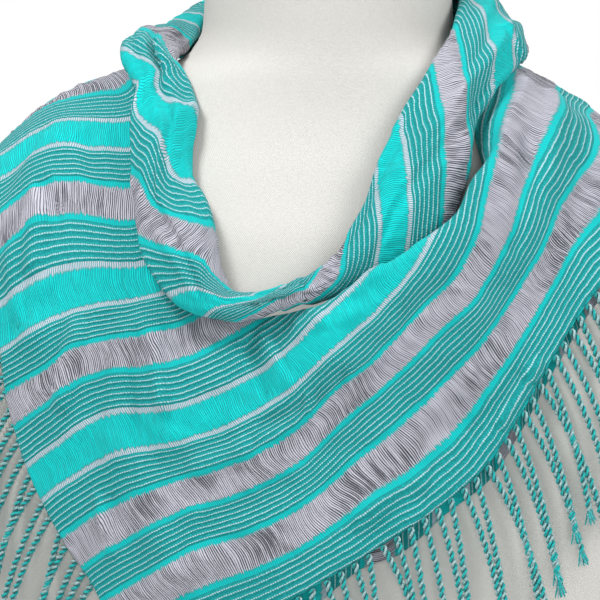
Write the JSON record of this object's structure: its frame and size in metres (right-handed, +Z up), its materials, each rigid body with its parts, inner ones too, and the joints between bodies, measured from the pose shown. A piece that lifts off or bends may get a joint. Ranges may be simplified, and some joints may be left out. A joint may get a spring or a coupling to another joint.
{
  "type": "fringed scarf on a limbless dress form",
  "caption": "Square striped scarf with twisted fringes, folded corner to corner and wound loosely round the neck of a limbless dress form.",
  "frame": {"origin": "centre of the dress form's flat base, on the neck's axis", "axes": "+Z up along the neck's axis, -Y to the front of the chest, +X to the right of the picture"},
  "size_m": [0.4216, 0.2515, 0.69],
  "materials": {
    "linen": "plain woven cover, matt",
    "woven": "striped cotton weave with open gauze bands",
    "woven_lower": "the same weave, in the shade of the layer above",
    "twisted": "two-ply twisted cotton"
  },
  "bodies": {
    "root": {"dress_form": "linen", "neck_loop": "woven", "top_fold": "woven", "under_fold": "woven_lower", "fringe_right_front": "twisted", "fringe_right_back": "twisted", "fringe_left_front": "twisted", "fringe_left_back": "twisted"}
  },
  "joints": []
}
